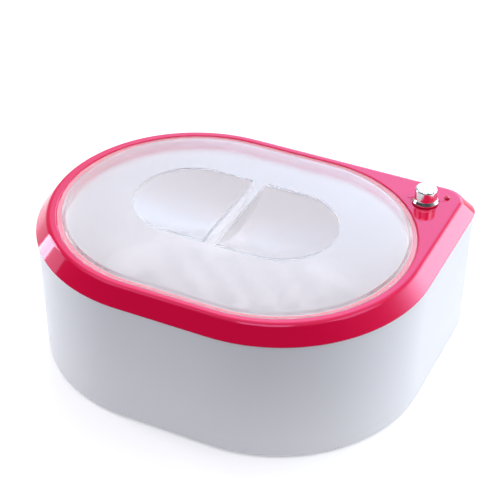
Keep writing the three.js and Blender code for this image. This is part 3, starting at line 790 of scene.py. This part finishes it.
def lid_face(bm, drop, wall_x):
    """One face of the lid's middle: both scoops, the bar's walls and its top. Returns its outline.

    drop lowers it, and wall_x is where the bar's walls stand, so its two faces leave a wall between."""
    columns = bar_columns()
    squeeze = wall_x / BAR_HALF_WIDTH
    vertices = {}

    def vertex(x, y, z):
        key = (round(x, 4), round(y, 4), round(z, 4))
        if key not in vertices:
            vertices[key] = bm.verts.new((x * MM, y * MM, z * MM))
        return vertices[key]

    def scoop_ring(side, scale, sunk):
        ring = []
        for x, y in scoop_outline(scale):
            at_wall = abs(x - BAR_HALF_WIDTH) < 1e-6
            px = wall_x if at_wall else x
            ring.append(vertex(side * px, side * y, dome(x, y) - sunk - drop))
        return ring

    for side in (1, -1):
        rings = [scoop_ring(side, 1, 0)]
        rings += [scoop_ring(side, scale, scoop_depth(scale)) for scale in SCOOP_SCALES]
        for a, b in zip(rings, rings[1:]):
            ring_faces(bm, a, b, closed=False)
        low = vertex(side * wall_x, 0, dome(BAR_HALF_WIDTH, 0) - SCOOP_DEPTH - drop)
        ring_faces(bm, rings[-1], [low] * len(rings[-1]), closed=False)

    rows = [-SCOOP_HALF_WIDTH * scale for scale in SCOOP_SCALES] + [0]
    rows += [SCOOP_HALF_WIDTH * scale for scale in reversed(SCOOP_SCALES)]
    tops = [[vertex(x * squeeze, y, dome(x, y) - drop) for x in columns] for y in rows]
    for a, b in zip(tops, tops[1:]):
        ring_faces(bm, a, b, closed=False)
    for column, side in ((0, 1), (-1, -1)):
        upper = [row[column] for row in tops]
        lower = []
        for y in rows:
            sunk = scoop_depth(abs(y) / SCOOP_HALF_WIDTH)
            lower.append(vertex(side * wall_x, y, dome(BAR_HALF_WIDTH, y) - sunk - drop))
        ring_faces(bm, upper, lower, closed=False)

    outline = []
    for x, y in grip_outline():
        on_bar = abs(x) < BAR_HALF_WIDTH + 1e-6
        outline.append(vertex(x * squeeze if on_bar else x, y, dome(x, y) - drop))
    return outline


def dome_ring(bm, share, radius, drop):
    """A ring on the dome, lowered by the drop, part of the way from the grip's outline to an oval."""
    ring = []
    for (gx, gy), (ex, ey) in zip(grip_outline(), rim_outline(radius)):
        x = gx + (ex - gx) * share
        y = gy + (ey - gy) * share
        ring.append((x, y, dome(x, y) - drop))
    return add_ring(bm, ring)


def lid():
    bm = bmesh.new()
    top = lid_face(bm, 0, BAR_HALF_WIDTH)
    under = lid_face(bm, LID_WALL, BAR_HALF_WIDTH - LID_WALL)
    shares = [(i / DOME_STEPS) ** 0.8 for i in range(1, DOME_STEPS)] + DOME_EDGE_SHARES
    skirt_wall, skirt_bottom = 1.8, lid_low.z + 0.6
    inside = LID_SKIRT_RADIUS - skirt_wall
    outer = [dome_ring(bm, share, DOME_RADIUS, 0) for share in shares]
    inner = [dome_ring(bm, share, inside, LID_WALL) for share in reversed(shares)]
    rim = rounded(
        [
            (DOME_RADIUS + 0.4, LID_FLANGE_TOP),
            (LID_RADIUS, LID_FLANGE_TOP, 0.8),
            (LID_RADIUS, LID_FLANGE_BOTTOM, 0.3),
            (LID_SKIRT_RADIUS, LID_FLANGE_BOTTOM, 0.2),
            (LID_SKIRT_RADIUS, skirt_bottom, 0.3),
            (inside, skirt_bottom, 0.3),
            (inside, BEZEL_TOP - 1.0),
        ],
        steps=4,
    )
    rim_rings = [add_ring(bm, [(x, y, z) for x, y in rim_outline(radius)]) for radius, z in rim]
    rings = [top, *outer, *rim_rings, *inner, under]
    for a, b in zip(rings, rings[1:]):
        ring_faces(bm, a, b)
    skin = bevel(from_bmesh("lid_skin", bm), 0.45, segments=3, angle=30)
    finish(skin, "frosted_plastic", "lid", "lid")


# ---------------------------------------------------------------- pot and grille
def inner_pot():
    """Pressed sheet with a wide flange, and the studs that hold the heater under its floor."""
    flange_top = pot_high.z
    flange_radius, flange_thickness, sheet = 128.5, 1.2, 1.5
    floor_middle = 3  # the radius at which the floor is closed flat
    section = rounded(
        [
            (floor_middle, POT_FLOOR),
            (107.5, POT_FLOOR, 16),
            (118, flange_top - flange_thickness, 1.2),
            (flange_radius, flange_top - flange_thickness, 0.3),
            (flange_radius, flange_top),
            (116.3, flange_top, 1.5),
            (106, POT_FLOOR + sheet, 14.5),
            (floor_middle, POT_FLOOR + sheet),
        ],
        steps=10,
    )
    skin = loft("inner_pot_skin", [oval_ring(radius, z) for radius, z in section])
    tip, stud_radius = 20.5, 2
    profile = [
        (0, tip),
        (stud_radius - 0.3, tip),
        (stud_radius, tip + 0.4),
        (stud_radius, POT_FLOOR + 0.5),
        (0, POT_FLOOR + 0.5),
    ]
    studs = [turned("stud", profile, place, 24) for place in ((-60, -20), (60, -20), (0, 40))]
    finish(merge("inner_pot_skin", [skin, *studs]), "aluminium", "root", "inner_pot")


def guard_grille():
    """A moulded plate with rounded slots and a raised rim, on short legs."""
    radius, rim_wall, plate_top = 100, 2.5, GRILLE_BOTTOM + 2.4
    middle_radius = 2  # the radius at which the plate is closed flat
    section = rounded(
        [
            (middle_radius, GRILLE_BOTTOM),
            (radius, GRILLE_BOTTOM, 0.6),
            (radius, grille_high.z, 0.8),
            (radius - rim_wall, grille_high.z, 0.8),
            (radius - rim_wall, plate_top, 0.8),
            (middle_radius, plate_top),
        ]
    )
    skin = loft("guard_grille_skin", [oval_ring(r, z) for r, z in section])
    carve(skin, [merge("slots_tool", grille_slots(radius - 6, plate_top))])
    bevel(skin, 0.5, segments=2, angle=50)
    leg_low, leg_radius = grille_low.z, 4
    profile = [
        (0, leg_low),
        (leg_radius - 0.6, leg_low),
        (leg_radius, leg_low + 0.6),
        (leg_radius, GRILLE_BOTTOM + 0.4),
        (0, GRILLE_BOTTOM + 0.4),
    ]
    legs = [turned("leg", profile, (x, y), 32) for x in (-60, 0, 60) for y in (-83, 83)]
    finish(merge("guard_grille_skin", [skin, *legs]), "white_plastic", "guard_grille", "guard_grille")


def grille_slots(limit, plate_top):
    """Tools for staggered rows of slots, as many as lie wholly inside the limit's oval."""
    length, width, pitch, row_pitch = 30, 9, 40, 17
    tools = []
    for row in range(-5, 6):
        for column in range(-3, 4):
            x = (column + (0.5 if row % 2 else 0)) * pitch
            y = row * row_pitch
            if oval_reach(abs(x) + length / 2, abs(y) + width / 2) < limit:
                tools.append(slot_tool(length, width, x, y, GRILLE_BOTTOM - 1, plate_top + 1))
    return tools


# ---------------------------------------------------------------- knob and lamp
def knob():
    """A flared skirt under a tapered cap, hollow beneath with a deeper socket, and a pointer groove."""
    base, top = knob_low.z, knob_high.z
    hollow, hollow_top = 9, base + 3.9
    socket, socket_top = 3.3, top - 4.4
    skirt = 12
    profile = rounded(
        [
            (0, socket_top),
            (socket, socket_top),
            (socket, hollow_top),
            (hollow, hollow_top),
            (hollow, base, 0.2),
            (skirt, base, 0.5),
            (skirt, base + 1.8, 0.6),
            (10.3, base + 4.4, 2.2),
            (9.9, top - 0.9, 2.4),
            (0, top),
        ],
        steps=8,
    )
    skin = turned("knob_skin", profile, KNOB, 128)
    carve(skin, [groove_tool(7.6, KNOB_OFF, (4.4, 1, 1.2), top - 0.2)])
    finish(skin, "chrome", "knob", "knob")


def lamp():
    """A domed lens with a collar just under the bezel, so that it can't be pushed out."""
    radius, collar, collar_low = 2.4, 3.3, 138
    collar_top = BEZEL_UNDER - GAP
    centre = lamp_high.z - radius  # of its round end
    dome_points = [
        (radius * cos(radians(rise)), centre + radius * sin(radians(rise))) for rise in range(0, 90, 10)
    ]
    profile = [
        (0, lamp_low.z),
        (radius, lamp_low.z),
        (radius, collar_low),
        (collar, collar_low),
        (collar, collar_top),
        (radius, collar_top),
        *dome_points,
        (0, lamp_high.z),
    ]
    finish(turned("lamp_lens_skin", profile, LAMP, 48), "lamp_red", "root", "indicator_lens")


# ---------------------------------------------------------------- underside
def base_plate():
    """A flat plate with three groups of vents, and holes for its screws and feet."""
    low, high = plate_low.z, plate_high.z
    inset = HALF_LENGTH - plate_high.x
    skin = loft("base_plate_skin", [housing_ring(inset, z) for z in (low, high)])
    length, width, pitch = 44, 3.2, 11
    tools = [
        slot_tool(length, width, x, row * pitch, low - 1, high + 1)
        for x in (-95, 0, 95)
        for row in range(-2, 3)
    ]
    for start, radius in (("base_screw_", 2.1), ("foot_", 3.1)):
        tools += [round_tool(radius, middle(name), low - 1, high + 1, 32) for name in nodes_named(start)]
    carve(skin, [merge("plate_tool", tools)])
    bevel(skin, 0.35, segments=2, angle=50)
    finish(skin, "white_plastic", "root", "base_plate")


def feet():
    """Rubber buttons, each with a neck through the plate and a barbed tip above it."""
    low, high = plate_low.z, plate_high.z
    button, neck, barb = 10, 2.8, 3.8
    profile = rounded(
        [
            (0, 0),
            (button - 0.6, 0, 0.8),
            (button, low - GAP, 0.5),
            (neck, low - GAP),
            (neck, high + GAP),
            (barb, high + GAP, 0.3),
            (2, high + 2.6, 0.6),
            (0, high + 2.6),
        ],
        steps=5,
        support=0.1,
    )
    for node in nodes_named("foot_"):
        finish(turned(f"{node}_skin", profile, middle(node), 64), "rubber", "root", node)


def pan_screw(node, shank, head, length):
    """A pan-head screw pointing up, with a cross slot in its head."""
    low, high = box_mm(node)
    centre = middle(node)
    head_height = high.z - low.z - length
    seat = low.z + head_height
    profile = rounded(
        [
            (0, low.z),
            (head * 0.9, low.z, head_height * 0.8),
            (head, seat, 0.1),
            (shank, seat),
            (shank, high.z - 1),
            (0, high.z),
        ],
        support=0.02,
    )
    skin = turned(f"{node}_skin", profile, centre, 40)
    cross = [
        block("cross_tool", (head * 1.1, 0.7, 1.4), (centre.x, centre.y, low.z), turn) for turn in (0, 90)
    ]
    carve(skin, cross)
    finish(skin, "steel", "root", node)


def screws():
    for node in nodes_named("base_screw_"):
        pan_screw(node, shank=1.3, head=2.8, length=14)
    for node in nodes_named("pot_screw_"):
        pan_screw(node, shank=1.2, head=2.8, length=9)


# ---------------------------------------------------------------- mains inlet
def inlet_housing():
    """A flanged socket in the back wall, open to the back, with a slit in it for each blade."""
    face = inlet_high.y
    flange_size, cavity_size = (50, 1.5, 24), (24, 17, 16.6)
    flange = block("inlet_skin", flange_size, (INLET.x, face - flange_size[1] / 2, INLET.y))
    bevel(flange, 0.7, segments=3, angle=40)
    body_middle = face - 0.5 - INLET_BODY[1] / 2
    carve(flange, [block("inlet_body", INLET_BODY, (INLET.x, body_middle, INLET.y))], "UNION")
    cavity_middle = face + 0.01 - cavity_size[1] / 2
    tools = [block("cavity_tool", cavity_size, (INLET.x, cavity_middle, INLET.y))]
    for _, x, z in BLADES:
        tools.append(block("blade_tool", (2.6, 40, 4.6), (INLET.x + x, face - 20, INLET.y + z)))
    hole, sink, sink_depth = 1.9, 3.2, 1.3
    for x in (-INLET_SCREW_X, INLET_SCREW_X):
        profile = [(0, -4), (hole, -4), (hole, -sink_depth), (sink, 0.1), (0, 0.1)]
        tools.append(back_facing(turned("sink_tool", profile, (0, 0), 40), INLET.x + x, face, INLET.y))
    carve(flange, tools)
    bevel(flange, 0.35, segments=2, angle=40)
    finish(flange, "black_plastic", "root", "inlet_housing")


def inlet_blades():
    for name, *_ in BLADES:
        low, high = box_mm(name)
        blade = block(f"{name}_skin", high - low, middle(name))
        bevel(blade, 0.45, segments=3, angle=40)
        finish(blade, "brass", "root", name)


def inlet_screws():
    """Countersunk screws either side of the inlet, a touch below its face."""
    shank, head, head_depth, length = 1.4, 2.75, 1.1, 7
    profile = [(0, -length), (shank, -length), (shank, -head_depth), (head, 0), (0, 0)]
    for i, x in enumerate((-INLET_SCREW_X, INLET_SCREW_X), 1):
        screw = turned(f"inlet_screw_{i}_skin", profile, (0, 0), 40)
        carve(screw, [block("cross_tool", (3, 0.6, 1), (0, 0, 0), turn) for turn in (0, 90)])
        back_facing(screw, INLET.x + x, inlet_high.y - 0.1, INLET.y)
        finish(screw, "steel", "root", f"inlet_screw_{i}")


# ---------------------------------------------------------------- stage
def direction(azimuth, elevation):
    """The way from the object to an azimuth, 0 in front and 90 to the right, and an elevation."""
    turn, rise = radians(azimuth), radians(elevation)
    return Vector((sin(turn) * cos(rise), -cos(turn) * cos(rise), sin(rise)))


def floor():
    """A light table: white paper lit from beneath round the object, greyer well in front of it."""
    paper, grey_paper = (0.88, 0.88, 0.9), (0.35, 0.35, 0.38)
    lit, unlit = (0.97, 0.97, 1), (0.1, 0.1, 0.1)
    fade_start, fade_width = 0.215, 0.13  # metres in front of the object's middle
    bm = bmesh.new()
    bmesh.ops.create_grid(bm, x_segments=8, y_segments=8, size=6)
    made = from_bmesh("floor", bm)
    material = moulded("floor_paper", paper, 0.9, bump=0.02)
    adjust(material, {"Specular IOR Level": 0.05, "Emission Strength": 0.25})
    tree = material.node_tree
    place = tree.nodes.new("ShaderNodeTexCoord").outputs["Object"]
    forward = along(tree, place, direction(25, 0))
    fade = smooth_step(tree, forward, fade_start, fade_start + fade_width)
    paint(material, "Base Color", fade, paper, grey_paper)
    paint(material, "Emission Color", fade, lit, unlit)
    made.data.materials.append(material)


def soft_box(name, azimuth, elevation, distance, size, radiance):
    """An area light that faces the object, of a size and distance in metres."""
    target = Vector((0, 0, 0.13))
    away = direction(azimuth, elevation)
    data = bpy.data.lights.new(name, "AREA")
    data.shape = "RECTANGLE"
    data.size, data.size_y = size
    data.energy = radiance * pi * size[0] * size[1]
    made = add_object(name, data)
    made.location = target + away * distance
    made.rotation_euler = (-away).to_track_quat("-Z", "Y").to_euler()
    made.visible_camera = False


def lights():
    """A bright box low on the left with a softer one beside it, and three large ones overhead."""
    soft_box("left_box", azimuth=-88, elevation=9, distance=0.85, size=(0.15, 0.5), radiance=8.0)
    soft_box("left_glow_box", azimuth=-80, elevation=8, distance=1.2, size=(0.32, 0.5), radiance=1.6)
    overhead = (0.9, 0.8)
    soft_box("left_high_box", azimuth=-60, elevation=50, distance=1.8, size=overhead, radiance=1.0)
    soft_box("right_high_box", azimuth=90, elevation=45, distance=1.8, size=overhead, radiance=2.2)
    soft_box("front_high_box", azimuth=15, elevation=56, distance=1.8, size=overhead, radiance=2.9)


def world():
    """A room that is dark in front, grey behind and brighter overhead, with soft bright patches in it."""
    made = bpy.data.worlds.new("studio")
    made.use_nodes = True
    tree = made.node_tree
    nodes, links = tree.nodes, tree.links
    place = nodes.new("ShaderNodeTexCoord").outputs["Generated"]

    def scaled(value, radiance, colour):
        patch = nodes.new("ShaderNodeVectorMath")
        patch.operation = "SCALE"
        patch.inputs[0].default_value = [radiance * channel for channel in colour]
        links.new(value, patch.inputs["Scale"])
        return patch.outputs["Vector"]

    def gradient(azimuth, elevation, start, end, radiance, colour):
        """Brightens towards a direction, as the cosine of the angle from it goes from start to end."""
        cosine = along(tree, place, direction(azimuth, elevation))
        return scaled(smooth_step(tree, cosine, start, end), radiance, colour)

    def glow(azimuth, elevation, sharpness, radiance, colour):
        """A round soft patch, smaller the sharper it is."""
        positive = nodes.new("ShaderNodeMath")
        positive.operation = "MAXIMUM"
        links.new(along(tree, place, direction(azimuth, elevation)), positive.inputs[0])
        positive.inputs[1].default_value = 0
        power = nodes.new("ShaderNodeMath")
        power.operation = "POWER"
        links.new(positive.outputs[0], power.inputs[0])
        power.inputs[1].default_value = sharpness
        return scaled(power.outputs[0], radiance, colour)

    patches = [
        gradient(180, 0, start=-0.6, end=0.6, radiance=0.42, colour=(0.95, 0.93, 1)),
        gradient(0, 90, start=0.62, end=0.85, radiance=0.68, colour=(0.97, 0.95, 1)),
        glow(141, 5, sharpness=14, radiance=6.2, colour=(0.88, 1, 1)),
        glow(172, 17, sharpness=70, radiance=5, colour=(1, 0.95, 1)),
        glow(-167, 27, sharpness=20, radiance=3.2, colour=(0.45, 0.75, 1.1)),
        glow(-152, 43, sharpness=90, radiance=1.8, colour=(1, 1, 1)),
    ]
    total = nodes.new("ShaderNodeRGB").outputs["Color"]
    total.default_value = (0.0475, 0.0475, 0.05, 1)  # the room's darkest parts
    for patch in patches:
        add = nodes.new("ShaderNodeVectorMath")
        links.new(total, add.inputs[0])
        links.new(patch, add.inputs[1])
        total = add.outputs["Vector"]
    links.new(total, nodes["Background"].inputs["Color"])
    bpy.context.scene.world = made


def camera():
    """Looks down on the object from in front and a little to the right, through a long lens."""
    azimuth, elevation, roll = radians(25.50), radians(36.05), radians(0.23)
    place = (0.47487, -0.96460, 0.89094)
    data = bpy.data.cameras.new("camera")
    data.lens = 105.41
    data.sensor_width = 36
    made = add_object("camera", data)
    turn = Euler((pi / 2 - elevation, 0, azimuth)).to_matrix() @ Matrix.Rotation(roll, 3, "Z")
    made.matrix_world = Matrix.Translation(place) @ turn.to_4x4()
    bpy.context.scene.camera = made


dress_cad_nodes()
body_shell()
bezel()
lid()
inner_pot()
guard_grille()
knob()
lamp()
base_plate()
feet()
screws()
inlet_housing()
inlet_blades()
inlet_screws()
floor()
lights()
world()
camera()
bpy.context.scene.view_settings.view_transform = "Standard"
